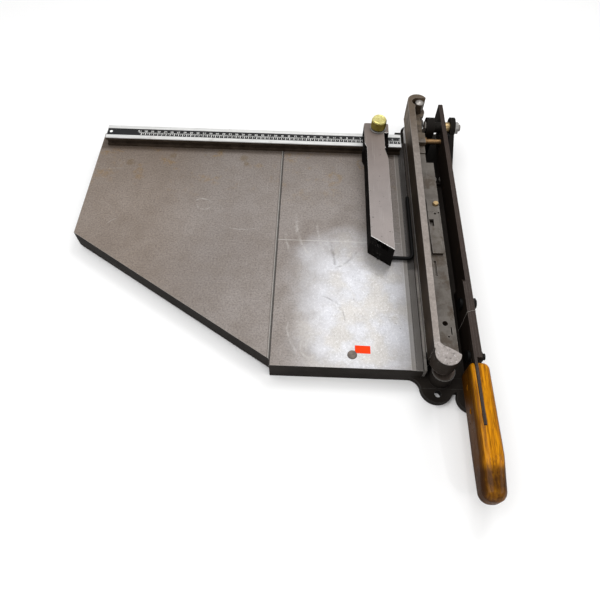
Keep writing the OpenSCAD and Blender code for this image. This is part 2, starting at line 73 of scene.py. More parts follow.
wing_high = corners("wing_table")[1]
rule_low, rule_high = corners("rule_bar")
strip_low, strip_high = corners("scale_strip")
stop_low, stop_high = corners("stop_bar")
ledger_low = corners("ledger_blade")[0]
carrier_low, carrier_high = corners("blade_carrier")
tang_low = corners("tang_plate")[0]
outer_low, outer_high = corners("lever_outer_bar")
grip_low = corners("handle_grip")[0]
knob_low, knob_high = corners("clamp_knob")
table_z = wing_high.z                       # top face of both tables
MARGIN = 0.0155                             # unfinished strip along the ledger
edge_x = ledger_low.x - MARGIN
seam_x = wing_high.x                        # where the two tables meet
fence_y = rule_low.y                        # front face of the rule


# ---- Camera, lights and floor ----

# The camera stands in front of the tool and looks down on the bed.
LOOK_AT_OFFSET = (0.0415, -0.0595)          # from the middle of the object, in plan
CAMERA_DISTANCE = 0.677
CAMERA_ELEVATION = 58.95
CAMERA_AZIMUTH = -0.70
CAMERA_ROLL = 1.45
CAMERA_LENS = 31.5


def make_camera():
    camera = bpy.data.objects.new("camera", bpy.data.cameras.new("camera"))
    bpy.context.scene.collection.objects.link(camera)
    target = Vector((centre.x + LOOK_AT_OFFSET[0], centre.y + LOOK_AT_OFFSET[1], table_z))
    down, turn = math.radians(CAMERA_ELEVATION), math.radians(CAMERA_AZIMUTH)
    ahead = Vector((math.sin(turn) * math.cos(down), math.cos(turn) * math.cos(down), -math.sin(down)))
    right = Vector((math.cos(turn), -math.sin(turn), 0))
    up = right.cross(ahead)
    roll = math.radians(CAMERA_ROLL)
    x_axis = right * math.cos(roll) + up * math.sin(roll)
    y_axis = up * math.cos(roll) - right * math.sin(roll)
    place = Matrix((x_axis, y_axis, -ahead)).transposed().to_4x4()
    place.translation = target - ahead * CAMERA_DISTANCE
    camera.matrix_world = place
    camera.data.lens = CAMERA_LENS
    camera.data.sensor_width = 36
    camera.data.clip_start, camera.data.clip_end = 0.01, 20
    bpy.context.scene.camera = camera


def area_light(name, place, aim, size, power, tint=(1, 1, 1)):
    data = bpy.data.lights.new(name, "AREA")
    data.shape, data.size, data.size_y = "RECTANGLE", size[0], size[1]
    data.energy, data.color = power, tint
    light = bpy.data.objects.new(name, data)
    bpy.context.scene.collection.objects.link(light)
    light.location = place
    light.rotation_euler = (Vector(aim) - Vector(place)).to_track_quat("-Z", "Y").to_euler()


def make_studio():
    bpy.context.scene.view_settings.view_transform = "Standard"
    world = bpy.data.worlds.new("studio")
    bpy.context.scene.world = world
    world.use_nodes = True
    world.node_tree.nodes["Background"].inputs["Color"].default_value = (1, 1, 1, 1)
    world.node_tree.nodes["Background"].inputs["Strength"].default_value = 0.5
    # a window behind the tool, which the bed mirrors towards the camera
    area_light("window", (0.39, 0.62, 1.3), (0.12, -0.08, 0.03), (0.56, 0.5), 5.6)
    area_light("ceiling", (-0.5, -0.1, 1.6), (0, 0, 0), (1.6, 1.6), 17)
    # a small lamp that glints on the varnish and the brass
    area_light("lamp", (0.63, -0.8, 1.05), (0.24, -0.27, 0.03), (0.05, 0.05), 1.1)
    area_light("side", (1.3, -0.5, 0.9), (0.15, 0, 0.03), (0.8, 0.8), 4, (1, 0.97, 0.93))


def make_floor():
    bm = bmesh.new()
    bmesh.ops.create_grid(bm, x_segments=1, y_segments=1, size=4)
    bmesh.ops.translate(bm, verts=bm.verts, vec=(0, 0, cad_low.z - 0.0002))
    mesh = bpy.data.meshes.new("floor")
    bm.to_mesh(mesh)
    bm.free()
    floor = bpy.data.objects.new("floor", mesh)
    bpy.context.scene.collection.objects.link(floor)
    m = Shader("floor_white")
    m.set(base=(0.93, 0.93, 0.93), rough=0.7, specular=0.2)
    floor.data.materials.append(m.material)


# ---- Material building ----

class Shader:
    """A Principled material with short calls for the nodes that feed it."""

    def __init__(self, name):
        self.material = bpy.data.materials.new(name)
        self.material.use_nodes = True
        self.tree = self.material.node_tree
        self.surface = self.tree.nodes["Principled BSDF"]
        self.coords = self.add("ShaderNodeTexCoord")
        self.place = self.coords.outputs["Object"]

    def add(self, kind, **settings):
        node = self.tree.nodes.new(kind)
        for key, value in settings.items():
            setattr(node, key, value)
        return node

    def feed(self, value, socket):
        if isinstance(value, bpy.types.NodeSocket):
            self.tree.links.new(value, socket)
        elif isinstance(value, (tuple, list)) and socket.type == "RGBA":
            socket.default_value = (*value, 1)
        else:
            socket.default_value = value

    def set(self, base=None, rough=None, metal=None, normal=None, coat=None, coat_rough=None,
            specular=None):
        sockets = {"Base Color": base, "Roughness": rough, "Metallic": metal, "Normal": normal,
                   "Coat Weight": coat, "Coat Roughness": coat_rough,
                   "Specular IOR Level": specular}
        for name, value in sockets.items():
            if value is not None:
                self.feed(value, self.surface.inputs[name])
        return self.material

    def math(self, operation, a, b=0.0, clamp=False):
        node = self.add("ShaderNodeMath", operation=operation, use_clamp=clamp)
        self.feed(a, node.inputs[0])
        self.feed(b, node.inputs[1])
        return node.outputs[0]

    def mul(self, a, b):
        return self.math("MULTIPLY", a, b)

    def plus(self, a, b):
        return self.math("ADD", a, b)

    def minus(self, a, b, clamp=False):
        return self.math("SUBTRACT", a, b, clamp)

    def larger(self, a, b):
        return self.math("MAXIMUM", a, b)

    def offset(self, a, b):
        """The distance between two numbers, without its sign."""
        return self.math("ABSOLUTE", self.minus(a, b))

    def reach(self, a, b):
        """The length of the hypotenuse over two sides."""
        return self.math("SQRT", self.plus(self.mul(a, a), self.mul(b, b)))

    def scaled(self, scale, shift=(0, 0, 0), turn=(0, 0, 0)):
        node = self.add("ShaderNodeMapping")
        self.feed(self.place, node.inputs["Vector"])
        node.inputs["Location"].default_value = shift
        node.inputs["Rotation"].default_value = turn
        node.inputs["Scale"].default_value = scale
        return node.outputs["Vector"]

    def noise(self, scale, detail=4, rough=0.55, stretch=None, shift=(0, 0, 0), distort=0, turn=(0, 0, 0)):
        node = self.add("ShaderNodeTexNoise")
        self.feed(self.scaled(stretch or (1, 1, 1), shift, turn), node.inputs["Vector"])
        node.inputs["Scale"].default_value = scale
        node.inputs["Detail"].default_value = detail
        node.inputs["Roughness"].default_value = rough
        node.inputs["Distortion"].default_value = distort
        return node.outputs["Fac"]

    def between(self, value, low, high, out_low=0.0, out_high=1.0):
        node = self.add("ShaderNodeMapRange", clamp=True, interpolation_type="SMOOTHSTEP")
        for v, name in ((value, "Value"), (low, "From Min"), (high, "From Max"),
                        (out_low, "To Min"), (out_high, "To Max")):
            self.feed(v, node.inputs[name])
        return node.outputs["Result"]

    def mix(self, share, a, b, blend="MIX"):
        node = self.add("ShaderNodeMix", data_type="RGBA", blend_type=blend)
        self.feed(share, node.inputs["Factor"])
        self.feed(a, node.inputs[6])
        self.feed(b, node.inputs[7])
        return node.outputs[2]

    def tint(self, share, colour, factor):
        """Multiplies a colour by another, as far as share says."""
        return self.mix(share, colour, self.mix(1.0, colour, factor, "MULTIPLY"))

    def axis(self, name):
        """One coordinate of the point, in metres."""
        node = self.add("ShaderNodeSeparateXYZ")
        self.feed(self.place, node.inputs[0])
        return node.outputs[name]

    def facing(self, axis):
        """How far the surface faces along one of the piece's own axes."""
        node = self.add("ShaderNodeSeparateXYZ")
        self.feed(self.coords.outputs["Normal"], node.inputs[0])
        return node.outputs[axis]

    def edges(self, radius, low=0.02, high=0.25):
        """1 near a convex edge, 0 on a flat face."""
        bevel = self.add("ShaderNodeBevel", samples=4)
        bevel.inputs["Radius"].default_value = radius
        plain = self.add("ShaderNodeNewGeometry")
        dot = self.add("ShaderNodeVectorMath", operation="DOT_PRODUCT")
        self.feed(bevel.outputs[0], dot.inputs[0])
        self.feed(plain.outputs["Normal"], dot.inputs[1])
        away = self.minus(1.0, dot.outputs["Value"])
        return self.between(away, low, high)

    def rounded(self, radius, axis):
        """How far a face would look along a world axis were its edges rounded."""
        bevel = self.add("ShaderNodeBevel", samples=6)
        bevel.inputs["Radius"].default_value = radius
        node = self.add("ShaderNodeSeparateXYZ")
        self.feed(bevel.outputs[0], node.inputs[0])
        return node.outputs[axis]

    def bump(self, height, depth, strength=1.0):
        node = self.add("ShaderNodeBump")
        node.inputs["Strength"].default_value = strength
        node.inputs["Distance"].default_value = depth
        self.feed(height, node.inputs["Height"])
        return node.outputs["Normal"]

    def streaks(self, spread=0.54):
        """Hair scratches: very long thin noise in three directions, each kept in patches."""
        total = None
        for turn, offset in ((0.35, 1), (-0.9, 5), (1.9, 9)):
            line = self.between(self.noise(900, 1, 0.4, stretch=(1, 0.012, 1), turn=(0, 0, turn),
                                           shift=(offset, 0, 0)), 0.66, 0.72)
            patch = self.between(self.noise(22, 3, 0.5, shift=(offset, 4, 2)), spread, spread + 0.1)
            mark = self.mul(line, patch)
            total = mark if total is None else self.larger(total, mark)
        return total

    def spot(self, x, y, place, radius):
        """A soft round patch with a ragged rim, in mm right of the seam and behind the rule's face."""
        dx = self.minus(x, seam_x + place[0] * MM)
        dy = self.minus(y, fence_y + place[1] * MM)
        far = self.reach(dx, dy)
        rag = self.mul(self.minus(self.noise(120, 4, 0.7), 0.5), 1.5 * radius * MM)
        return self.between(self.plus(far, rag), radius * MM, 0.3 * radius * MM)

    def smear(self, x, y, start, middle, stop, width):
        """A soft curved scuff through three points, in mm right of the seam and behind the rule's face."""
        a, b, c = (Vector((seam_x + px * MM, fence_y + py * MM)) for px, py in (start, middle, stop))
        turn = 2 * (a.x * (b.y - c.y) + b.x * (c.y - a.y) + c.x * (a.y - b.y))
        heart = Vector((a.length_squared * (b.y - c.y) + b.length_squared * (c.y - a.y)
                        + c.length_squared * (a.y - b.y),
                        a.length_squared * (c.x - b.x) + b.length_squared * (a.x - c.x)
                        + c.length_squared * (b.x - a.x))) / turn
        radius = (b - heart).length
        half = (a - heart).angle(c - heart) / 2
        aim = ((a - heart).normalized() + (c - heart).normalized()).normalized()
        wobble = self.mul(self.minus(self.noise(45, 3, 0.6), 0.5), 3 * width)
        dx = self.minus(x, heart.x)
        dy = self.minus(y, heart.y)
        far = self.reach(dx, dy)
        off = self.math("ABSOLUTE", self.plus(self.minus(far, radius), wobble))
        ring = self.between(off, width, 0.0)
        along = self.math("DIVIDE", self.plus(self.mul(dx, aim.x), self.mul(dy, aim.y)), far)
        part = self.between(along, math.cos(half * 1.15), math.cos(half * 0.6))
        broken = self.between(self.noise(140, 4, 0.75, shift=(start[0], 0, 0)), 0.36, 0.6, 0.1, 1.0)
        return self.mul(self.mul(ring, part), broken)


def times(colour, factor):
    return tuple(min(1.0, c * factor) for c in colour)


BARE_ROUGH, BARE_METAL = 0.34, 0.6          # of paint worn through to metal
BLOTCH_SCALE, GRAIN_SCALE = 14, 900
GLINT_ROUNDING = 1.4 * MM                              # how far round a front edge the painted highlight reaches


def rubbed_front(m, level):
    """1 where the rounded edge of a top face above a level looks to the front, where a highlight is painted.
    """
    ahead, upward = m.rounded(GLINT_ROUNDING, "Y"), m.rounded(GLINT_ROUNDING, "Z")
    edge = m.mul(m.between(ahead, -0.06, -0.16), m.between(upward, 0.55, 0.7))
    return m.mul(edge, m.between(m.axis("Z"), level, level + MM))


def worn_metal(name, body, bare, rough=0.5, metal=0.0, edge=1.2 * MM, edge_share=0.8, blotch_share=0.25,
               grain_depth=0.12 * MM, specular=0.3, rust=0.0, side=None, side_level=None,
               front_glint=False, fade=None):
    """A painted or cast surface: blotches, fine grain and bright worn edges.
    side is the colour of the faces that don't look up, or that lie under side_level: darker paint together
    with painted shade.
    The front option paints a near-white highlight on the rounded top edge where it faces the front.
    fade is the range of Y over which the surface turns darker. It gets dark specks as well."""
    m = Shader(name)
    large = m.noise(BLOTCH_SCALE, 5, 0.6)
    fine = m.noise(GRAIN_SCALE, 3, 0.7)
    spec = specular
    if side:
        top = m.between(m.facing("Z"), 0.55, 0.9)
        if side_level is not None:
            top = m.mul(top, m.between(m.axis("Z"), side_level - 0.5 * MM, side_level))
        # painted shade: the faces that don't look up take the darker side colour
        body = m.mix(top, side, body)
        spec = m.between(top, 0, 1, 0.04, specular)
    dark = m.mix(1.0, body, (1 - blotch_share,) * 3, "MULTIPLY")
    colour = m.mix(m.between(large, 0.3, 0.7), dark, body)
    if fade:
        dim = m.between(m.axis("Y"), *fade)
        colour = m.tint(dim, colour, (0.62, 0.57, 0.53))
        flecks = m.between(m.noise(170, 3, 0.6, shift=(6, 1, 4)), 0.66, 0.7, 0, 0.7)
        colour = m.mix(flecks, colour, (0.05, 0.04, 0.035))
    grit = m.mix(1.0, body, (0.55, 0.52, 0.5), "MULTIPLY")
    colour = m.mix(m.between(fine, 0.4, 0.75, 0, 0.4), colour, grit)
    if rust:
        spots = m.between(m.noise(BLOTCH_SCALE * 5, 6, 0.7, shift=(5, 2, 1)), 0.6, 0.72, 0, rust)
        colour = m.mix(spots, colour, (0.13, 0.06, 0.025))
    broken = m.between(m.noise(BLOTCH_SCALE * 9, 5, 0.75, shift=(2, 7, 3)), 0.32, 0.6)
    wear = m.mul(m.mul(m.edges(edge), broken), edge_share)
    if side_level is not None:
        wear = m.mul(wear, top)
    wear = m.larger(wear, m.mul(m.mul(m.streaks(), 0.35), edge_share))
    colour = m.mix(wear, colour, bare)
    if front_glint:
        # painted highlight along the front top edge
        colour = m.mix(rubbed_front(m, side_level + 1.6 * MM), colour, (0.95, 0.94, 0.92))
    roughness = m.between(large, 0.3, 0.7, rough - 0.06, rough + 0.08)
    roughness = m.plus(roughness, m.mul(wear, BARE_ROUGH - rough))
    if side:
        roughness = m.larger(roughness, m.between(top, 0, 1, 0.8, 0.0))
    metallic = m.plus(metal, m.mul(wear, BARE_METAL - metal))
    height = m.minus(fine, m.mul(wear, 0.5))
    return m.set(base=colour, rough=roughness, metal=metallic, specular=spec,
                 normal=m.bump(height, grain_depth, 0.7))


# ---- The two tables ----

# Places on the tables, in metres: right of the seam, or in front of the rule
POLISH_RIGHT, POLISH_AHEAD = 0.118, 0.292   # middle of the polished patch and its painted sheen
POLISH_WIDE, POLISH_DEEP = 0.11, 0.14       # its half width and half depth
SCRIBED_LINE = 0.1717
BLACK_FROM = 0.216                           # the strip beside the ledger is black behind this
DARK_STRIP = 5.2 * MM                       # how far right of the table's edge the strip turns dark
SEAM_RIM, SEAM_GROOVE = 1.7 * MM, 3 * MM    # a bright rim and a dark line, left of the seam
FOOT_DEPTH = 4 * MM                         # faces lower than this under the top are dark

TABLE_DARK = (0.2, 0.172, 0.156)
TABLE_LIGHT = (0.25, 0.222, 0.206)
TABLE_BROWN = (0.17, 0.14, 0.118)
REAR_BLACK = (0.013, 0.01, 0.008)
# Scuffs: three points each, in mm from the seam and the rule, and half a width in metres
LIGHT_SCUFFS = (
    ((25, -125), (34, -176), (53, -207), 0.0028),
    ((56, -140), (59, -172), (66, -190), 0.0024),
    ((11, -160), (13.5, -177), (17, -192), 0.0026),
    ((40, -326), (37.5, -338), (54, -348), 0.0024),
    ((21, -300), (24, -328), (34, -345), 0.0022),
    ((72, -232), (96, -246), (104, -284), 0.003),
)
DARK_SCUFFS = (
    ((72, -170), (78, -195), (80, -216), 0.003),
    ((80, -216), (97, -206), (112, -186), 0.0026),
    ((62, -262), (84, -275), (92, -300), 0.0022),
)
WING_SCUFFS = (
    ((-122, -106), (-111, -102), (-99, -110), 0.0016),
    ((-120, -112), (-110, -122), (-98, -114), 0.0012),
    ((-242, -155), (-235, -148), (-227, -143), 0.001),
    ((-263, -49), (-251, -47.2), (-239, -47), 0.0008),
    ((-80, -150), (-56, -156), (-30, -153), 0.0009),
)
# Brown oil stains on the left table: place and radius in mm
OIL_STAINS = (((-232, -34), 9), ((-169, -18), 7), ((-60, -18), 9), ((-55, -30), 6), ((-120, -14), 3))


def ground_face(m, y, large, middle, mottle):
    """Both tables' ground metal: brown clouds, stains, painted shade and a painted shadow by the rule, specks
    and fine mottling.
    """
    face = m.mix(m.between(large, 0.3, 0.7), TABLE_DARK, TABLE_LIGHT)
    face = m.mix(m.between(middle, 0.35, 0.7, 0, 0.45), face, TABLE_BROWN)
    near = m.between(y, fence_y - 0.14, fence_y + 0.01)
    # painted shade: the table is painted darker towards the rule
    face = m.mix(m.mul(near, 0.3), face, (0.12, 0.095, 0.075))
    stain = m.mul(near, m.between(m.noise(30, 6, 0.75, shift=(9, 3, 0)), 0.53, 0.66))
    face = m.mix(m.mul(stain, 0.75), face, (0.22, 0.14, 0.05))
    # painted shadow: a dark strip on the table along the foot of the rule
    painted_shade = m.between(y, fence_y - 12 * MM, fence_y - 3 * MM)
    face = m.mix(m.mul(painted_shade, 0.75), face, (0.07, 0.052, 0.04))
    specks = m.between(m.noise(230, 3, 0.65, shift=(4, 4, 4)), 0.68, 0.73)
    face = m.mix(m.mul(specks, 0.7), face, (0.07, 0.045, 0.03))
    face = m.tint(m.between(mottle, 0.5, 0.62, 0, 0.75), face, (0.6, 0.58, 0.56))
    return m.tint(m.between(mottle, 0.5, 0.38, 0, 0.6), face, (1.4, 1.39, 1.36))


def polished_patch(m, x, y, large, face):
    """The patch polished by use, painted pale as a sheen, with clouds of painted reflection and painted
    sparkle. Gives the face, how polished and sheened it is there, and its pits.
    """
    dx = m.math("DIVIDE", m.minus(x, seam_x + POLISH_RIGHT), POLISH_WIDE)
    dy = m.math("DIVIDE", m.minus(y, fence_y - POLISH_AHEAD), POLISH_DEEP)
    far = m.plus(m.reach(dx, dy), m.mul(m.minus(large, 0.5), 1.1))
    polish_and_sheen = m.between(far, 1.15, 0.4)
    # painted sheen: the patch is painted pale, for the window's reflection as well as the brighter metal
    face = m.mix(polish_and_sheen, face, (0.48, 0.475, 0.485))
    # painted reflection: bluish-white and cream clouds in the sheen
    cloud = m.noise(24, 3, 0.55, shift=(5, 8, 3))
    face = m.mix(m.mul(polish_and_sheen, m.between(cloud, 0.4, 0.62, 0, 0.6)), face, (0.6, 0.61, 0.66))
    face = m.mix(m.mul(polish_and_sheen, m.between(cloud, 0.5, 0.34, 0, 0.45)), face, (0.49, 0.45, 0.39))
    pits = m.mul(m.between(m.noise(330, 4, 0.7, shift=(7, 1, 2)), 0.64, 0.7), polish_and_sheen)
    face = m.mix(m.mul(pits, 0.75), face, (0.09, 0.075, 0.065))
    # painted sparkle: bright specks in the sheen, with some dark flecks
    grain_and_sparkle = m.noise(360, 7, 0.9, shift=(8, 2, 5), distort=0.8)
    face = m.mix(m.mul(polish_and_sheen, m.between(grain_and_sparkle, 0.5, 0.62, 0, 0.6)), face, (0.8, 0.8, 0.82))
    face = m.mix(m.mul(polish_and_sheen, m.between(grain_and_sparkle, 0.46, 0.36, 0, 0.4)), face, (0.2, 0.19, 0.185))
    return face, polish_and_sheen, pits


def bed_marks(m, x, y, face, scratches_and_highlight):
    """The right table's scribed line and scuffs."""
    line = m.between(m.offset(y, fence_y - SCRIBED_LINE), 0.8 * MM, 0.3 * MM)
    line = m.mul(line, m.between(x, edge_x, edge_x - 2 * MM))
    scratches_and_highlight = m.larger(scratches_and_highlight, m.mul(line, 0.5))
    for scuff in LIGHT_SCUFFS:
        scratches_and_highlight = m.larger(scratches_and_highlight, m.mul(m.smear(x, y, *scuff), 0.36))
    for scuff in DARK_SCUFFS:
        face = m.mix(m.mul(m.smear(x, y, *scuff), 0.5), face, (0.13, 0.12, 0.115))
    return face, scratches_and_highlight


def ledger_strip(m, x, y, middle, face):
    """The unfinished strip along the ledger, nearly black in its rear half."""
    strip = m.between(x, edge_x + 0.1 * MM, edge_x + 0.9 * MM)
    face = m.mix(m.mul(strip, 0.75), face, (0.16, 0.145, 0.13))
    outer = m.between(x, edge_x + DARK_STRIP, edge_x + DARK_STRIP + 0.8 * MM)
    ragged = m.plus(y, m.mul(m.minus(middle, 0.5), 0.02))
    black_from_y = fence_y - BLACK_FROM
    rear = m.between(ragged, black_from_y - 2 * MM, black_from_y + 2 * MM)
    # darker grey in front and nearly black behind a line
    face = m.mix(m.mul(outer, 0.92), face, m.mix(rear, (0.07, 0.062, 0.055), REAR_BLACK))
    return face, strip


def wing_marks(m, x, y, mottle, face, scratches_and_highlight):
    """The left table's stains and scuffs, and the rim and groove beside the seam."""
    for place, radius in OIL_STAINS:
        spot = m.mul(m.spot(x, y, place, radius), m.between(mottle, 0.38, 0.56, 0.5, 1.0))
        face = m.mix(m.mul(spot, 0.6), face, (0.13, 0.09, 0.045))
    for scuff in WING_SCUFFS:
        scratches_and_highlight = m.larger(scratches_and_highlight, m.mul(m.smear(x, y, *scuff), 0.5))
    warm = m.between(x, seam_x - 0.08, seam_x - 0.2)
    face = m.tint(warm, face, (0.95, 0.89, 0.82))
    rim = m.between(x, seam_x - SEAM_RIM - 0.4 * MM, seam_x - SEAM_RIM)
    scratches_and_highlight = m.larger(scratches_and_highlight, m.mul(rim, 0.8))
    groove = m.between(m.offset(x, seam_x - SEAM_GROOVE), 0.9 * MM, 0.4 * MM)
    return m.mix(m.mul(groove, 0.5), face, (0.06, 0.05, 0.042)), scratches_and_highlight


def table_top(name, right_table):
    """Finished top face over dark cast sides, which are partly painted shade."""
    m = Shader(name)
    x, y, z = m.axis("X"), m.axis("Y"), m.axis("Z")
    upper = m.between(z, table_z - FOOT_DEPTH - 0.5 * MM, table_z - FOOT_DEPTH)
    top = m.mul(m.between(m.facing("Z"), 0.6, 0.9), upper)
    large = m.noise(7, 5, 0.6)
    middle = m.noise(38, 6, 0.65, shift=(1, 1, 0))
    mottle = m.noise(420, 5, 0.8, shift=(3, 6, 1))
    face = ground_face(m, y, large, middle, mottle)
    scratches_and_highlight = m.mul(m.streaks(0.6), 0.16)
    rough = m.between(middle, 0.3, 0.7, 0.4, 0.54)
    metallic, height = 0.1, m.plus(m.mul(middle, 0.8), m.mul(mottle, 0.5))
    if right_table:
        face, polish_and_sheen, pits = polished_patch(m, x, y, large, face)
        height = m.minus(height, m.mul(pits, 0.6))
        height = m.plus(height, m.mul(m.mul(mottle, polish_and_sheen), 3.0))
        face, scratches_and_highlight = bed_marks(m, x, y, face, scratches_and_highlight)
        face, strip = ledger_strip(m, x, y, middle, face)
        rough = m.plus(m.minus(rough, m.mul(polish_and_sheen, 0.08)), m.mul(strip, 0.14))
        metallic = m.mul(m.plus(metallic, m.mul(polish_and_sheen, 0.3)), m.minus(1.0, strip))
        # painted highlight: a light line along the finished table's edge, mixed in with the pale scratches
        edge_highlight = m.between(m.offset(x, edge_x), 0.9 * MM, 0.3 * MM)
        scratches_and_highlight = m.larger(scratches_and_highlight, m.mul(edge_highlight, 0.35))
    else:
        face, scratches_and_highlight = wing_marks(m, x, y, mottle, face, scratches_and_highlight)
    # pale scratches and scuffs, and on the right table the painted highlight along its edge
    face = m.mix(scratches_and_highlight, face, (0.52, 0.5, 0.475))
    # painted shade: the sides are near black, their dark cast colour together with painted shade
    side = m.mix(m.between(m.noise(22, 5, 0.6), 0.3, 0.7), (0.01, 0.008, 0.0065), (0.02, 0.0165, 0.014))
    colour = m.mix(top, side, face)
    worn = m.mul(m.edges(1.1 * MM), m.between(m.noise(120, 5, 0.7), 0.25, 0.55))
    near_top = m.between(z, table_z - 12 * MM, table_z - 3 * MM, 0.12, 0.75)
    colour = m.mix(m.mul(worn, near_top), colour, (0.4, 0.385, 0.37))
    side_rough = 0.62
    roughness = m.plus(m.mul(top, m.minus(rough, side_rough)), side_rough)
    height = m.plus(m.mul(m.noise(1100, 2, 0.7), 0.6), height)
    return m.set(base=colour, rough=roughness, metal=m.mul(metallic, top),
                 normal=m.bump(height, 0.18 * MM, 0.6), specular=m.between(top, 0, 1, 0.05, 0.45))


# ---- The other materials ----

# Stretches of the carrier, in metres from its front or rear end
PAD_END = 0.024                             # the front pad's texture is full up to here
TAIL_FROM = 0.13                            # the casting turns golden brown over the tail


def carrier_metal():
    """Brown-grey casting, rubbed bright along the top of its ridge and mottled on the front pad."""
    m = Shader("carrier_casting")
    large = m.noise(20, 5, 0.6)
    y, z, up = m.axis("Y"), m.axis("Z"), m.facing("Z")
    ridge = m.between(z, carrier_high.z - 2.2 * MM, carrier_high.z - 0.4 * MM)
    flat = m.between(up, 0.75, 0.97)
    flange = m.minus(flat, ridge, clamp=True)
    pad = m.between(y, carrier_low.y + PAD_END + 0.016, carrier_low.y + PAD_END)
    # the casting itself: dark sides, partly painted shade, and the flange that looks up painted lighter as
    # lit
    colour = m.mix(m.between(large, 0.3, 0.7), (0.022, 0.015, 0.01), (0.05, 0.036, 0.026))
    lit = m.mul(flange, m.between(m.noise(48, 6, 0.7), 0.3, 0.65, 0.45, 1.0))
    colour = m.mix(lit, colour, (0.13, 0.115, 0.1))
    brown = m.between(m.noise(34, 6, 0.7, shift=(8, 2, 5)), 0.5, 0.64, 0, 0.85)
    colour = m.mix(m.mul(flange, brown), colour, (0.055, 0.037, 0.022))
    tail = m.between(y, carrier_high.y - TAIL_FROM, carrier_high.y - 0.05)
    golden = m.mix(m.between(m.noise(60, 5, 0.7, shift=(4, 1, 7)), 0.35, 0.65), (0.05, 0.032, 0.017),
                   (0.15, 0.11, 0.07))
    colour = m.mix(m.mul(tail, 0.85), colour, golden)
    # painted shade: at the front end the faces that don't look up are painted near black
    under = m.mul(pad, m.between(up, 0.5, 0.2))
    colour = m.mix(m.mul(under, 0.65), colour, (0.011, 0.008, 0.006))
    # the bright metal along the ridge and on the pad
    middle = m.between(y, carrier_high.y - 0.02, carrier_high.y - 0.16)
    bright = m.mix(middle, (0.125, 0.092, 0.062), (0.25, 0.218, 0.197))
    bright = m.mix(pad, bright, (0.3, 0.27, 0.255))
    dents = m.between(m.noise(240, 4, 0.8, shift=(2, 2, 9)), 0.56, 0.66, 0, 0.8)
    bright = m.mix(m.mul(pad, dents), bright, (0.09, 0.08, 0.075))
    shine = m.between(m.noise(310, 4, 0.8, shift=(7, 5, 1)), 0.56, 0.66, 0, 0.8)
    bright = m.mix(m.mul(pad, shine), bright, (0.6, 0.58, 0.57))
    mottle = m.between(m.noise(260, 5, 0.75, shift=(1, 8, 1)), 0.34, 0.62)
    bright = m.tint(m.mul(mottle, 0.5), bright, (0.5, 0.48, 0.46))
    rub = m.mul(ridge, m.between(m.noise(30, 5, 0.6, shift=(3, 3, 3)), 0.22, 0.5, 0.65, 1.0))
    colour = m.mix(rub, colour, bright)
    # worn edges and hair scratches
    worn = m.mul(m.edges(1.4 * MM), m.between(m.noise(150, 5, 0.7), 0.35, 0.6))
    colour = m.mix(m.mul(worn, 0.6), colour, (0.36, 0.33, 0.3))
    colour = m.mix(m.mul(m.streaks(), 0.2), colour, (0.3, 0.28, 0.26))
    bare = m.larger(rub, m.mul(worn, 0.6))
    rough = m.minus(m.between(large, 0.3, 0.7, 0.5, 0.64), m.mul(bare, 0.12))
    metallic = m.plus(0.1, m.mul(bare, 0.2))
    height = m.plus(m.mul(m.noise(700, 3, 0.7), 0.5), m.noise(150, 4, 0.6))
    height = m.minus(height, m.mul(pad, dents))
    return m.set(base=colour, rough=rough, metal=metallic, normal=m.bump(height, 0.3 * MM, 0.6),
                 specular=m.between(m.larger(flat, bare), 0, 1, 0.07, 0.4))


def growth_rings(m):
    """Wavy bands along the handle, bent by a slow noise."""
    wander = m.noise(9, 3, 0.5, stretch=(1, 0.25, 1))
    rings = m.add("ShaderNodeTexWave", wave_type="BANDS", bands_direction="X")
    bend = m.add("ShaderNodeVectorMath", operation="MULTIPLY_ADD")
    m.feed(m.scaled((1, 0.05, 0.55), turn=(0, 0.5, 0.02)), bend.inputs[2])
    m.feed(wander, bend.inputs[0])
    bend.inputs[1].default_value = (0.05, 0.0, 0.05)
    m.feed(bend.outputs[0], rings.inputs["Vector"])
    for name, value in (("Scale", 62), ("Distortion", 14), ("Detail", 4), ("Detail Scale", 2.2)):
        rings.inputs[name].default_value = value
    return rings.outputs["Fac"]


DARK_END = 0.027                            # the handle's dark end, in metres


